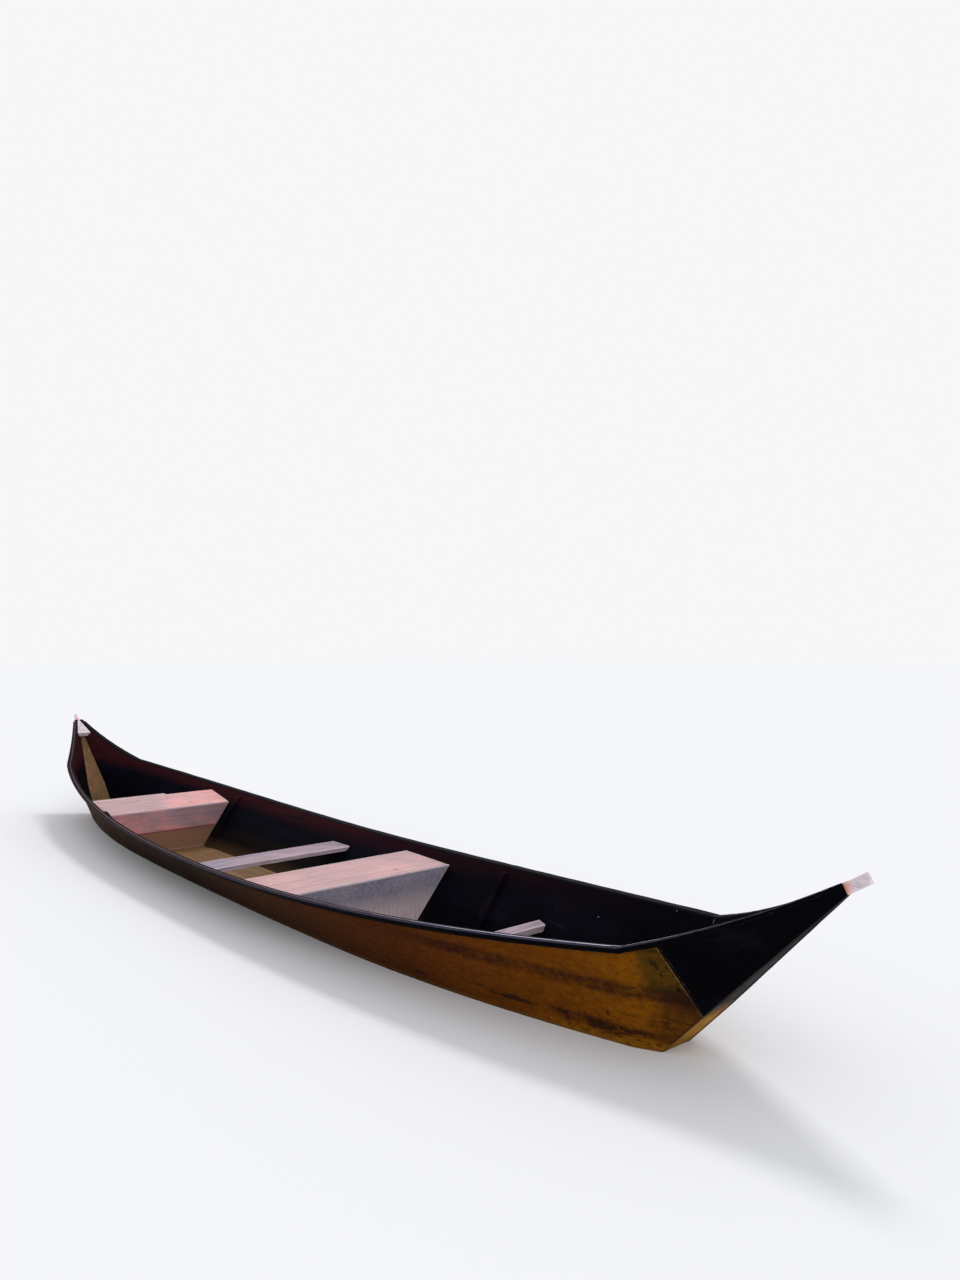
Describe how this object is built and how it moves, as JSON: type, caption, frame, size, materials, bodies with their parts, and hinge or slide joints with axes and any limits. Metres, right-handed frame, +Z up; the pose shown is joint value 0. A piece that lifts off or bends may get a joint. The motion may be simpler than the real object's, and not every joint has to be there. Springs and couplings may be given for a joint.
{
  "type": "flat-bottomed wooden plank boat",
  "caption": "Narrow double-ended plank boat with a flat bottom, raked ramps, upswept prows with stem heads, two box seats, a middle thwart and rub rails.",
  "frame": {"origin": "centre of the footprint, on the underside of the flat bottom", "axes": "+X to the bow, +Y to port, +Z up"},
  "size_m": [7.6244, 1.3022, 0.896],
  "materials": {
    "ochre_paint": "worn satin paint on planks",
    "black_paint": "worn satin paint, pale along the edges",
    "bottom_paint": "faded paint, wetted and stained",
    "mauve_paint": "dusty matt paint",
    "grey_paint": "dusty matt paint with water streaks",
    "bare_wood": "bare weathered end, stained orange at its root"
  },
  "bodies": {
    "root": {"aft_seat_back": "grey_paint", "aft_seat_edge_board": "mauve_paint", "aft_seat_front": "grey_paint", "aft_seat_top": "mauve_paint", "bottom_board_centre": "bottom_paint", "bottom_board_port": "bottom_paint", "bottom_board_starboard": "bottom_paint", "bow_beam": "mauve_paint", "butt_rib_bow_port": "black_paint", "butt_rib_bow_starboard": "black_paint", "butt_rib_stern_port": "black_paint", "butt_rib_stern_starboard": "black_paint", "fore_seat_back": "grey_paint", "fore_seat_front": "grey_paint", "fore_seat_top": "mauve_paint", "prow_board_bow_port": "black_paint", "prow_board_bow_starboard": "black_paint", "prow_board_stern_port": "black_paint", "prow_board_stern_starboard": "black_paint", "prow_rail_bow_port": "black_paint", "prow_rail_bow_starboard": "black_paint", "prow_rail_stern_port": "black_paint", "prow_rail_stern_starboard": "black_paint", "ramp_bow": "bottom_paint", "ramp_stern": "bottom_paint", "rub_rail_bow_port": "black_paint", "rub_rail_bow_starboard": "black_paint", "rub_rail_mid_port": "black_paint", "rub_rail_mid_starboard": "black_paint", "rub_rail_stern_port": "black_paint", "rub_rail_stern_starboard": "black_paint", "sheer_board_bow_port": "ochre_paint", "sheer_board_bow_starboard": "ochre_paint", "sheer_board_stern_port": "ochre_paint", "sheer_board_stern_starboard": "ochre_paint", "side_board_bow_port": "ochre_paint", "side_board_bow_starboard": "ochre_paint", "side_board_mid_port": "ochre_paint", "side_board_mid_starboard": "ochre_paint", "side_board_stern_port": "ochre_paint", "side_board_stern_starboard": "ochre_paint", "stem_head_bow": "bare_wood", "stem_head_stern": "bare_wood", "thwart": "mauve_paint", "thwart_cleat_port": "mauve_paint", "thwart_cleat_starboard": "mauve_paint"}
  },
  "joints": []
}
